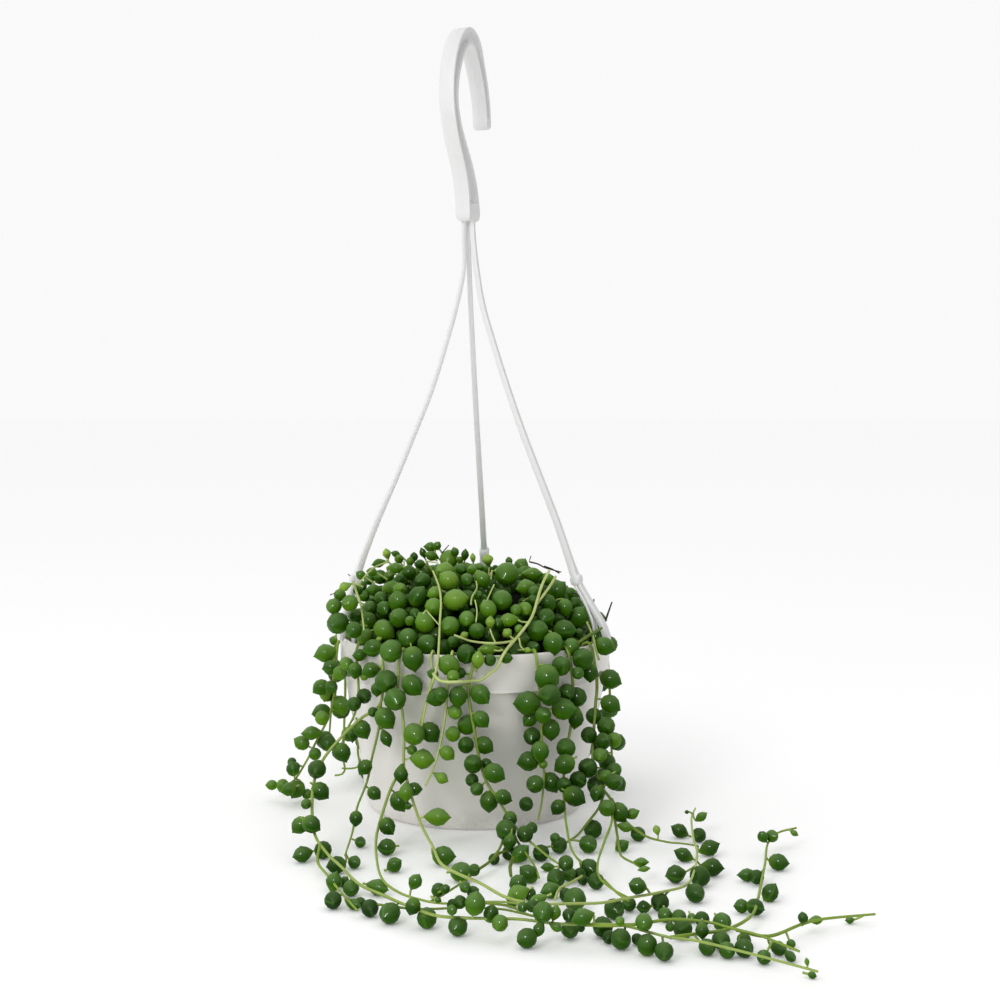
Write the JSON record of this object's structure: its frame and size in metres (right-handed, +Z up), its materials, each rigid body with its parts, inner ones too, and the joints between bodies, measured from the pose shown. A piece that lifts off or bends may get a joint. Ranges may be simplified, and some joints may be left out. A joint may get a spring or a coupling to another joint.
{
  "type": "potted string of pearls",
  "caption": "Trailing string of pearls plant in a white plastic hanging pot, standing on its base with its moulded three-strand hanger and hook held up.",
  "frame": {"origin": "centre of the pot's flat base, on the surface that the pot stands on", "axes": "+Z up through the pot and its hanger, -Y towards the front, +X to the right seen from the front"},
  "size_m": [0.2541, 0.3642, 0.3808],
  "materials": {
    "white_plastic": "moulded, softly glossy white",
    "potting_soil": "dark crumbly potting soil",
    "pearls": "glossy waxy green leaves",
    "strings": "glossy waxy green leaves on thin light green stems"
  },
  "bodies": {
    "root": {"crown": "pearls", "hook": "white_plastic", "pot": "white_plastic", "soil": "potting_soil", "strand_back": "white_plastic", "strand_left": "white_plastic", "strand_right": "white_plastic", "string_behind_1": "strings", "string_behind_10": "strings", "string_behind_2": "strings", "string_behind_3": "strings", "string_behind_4": "strings", "string_behind_5": "strings", "string_behind_6": "strings", "string_behind_7": "strings", "string_behind_8": "strings", "string_behind_9": "strings", "string_centre": "strings", "string_front_left": "strings", "string_front_right": "strings", "string_left": "strings", "string_middle": "strings", "string_pale": "strings", "string_right": "strings", "string_right_of_centre": "strings", "string_short_left": "strings", "string_short_middle": "strings"}
  },
  "joints": []
}
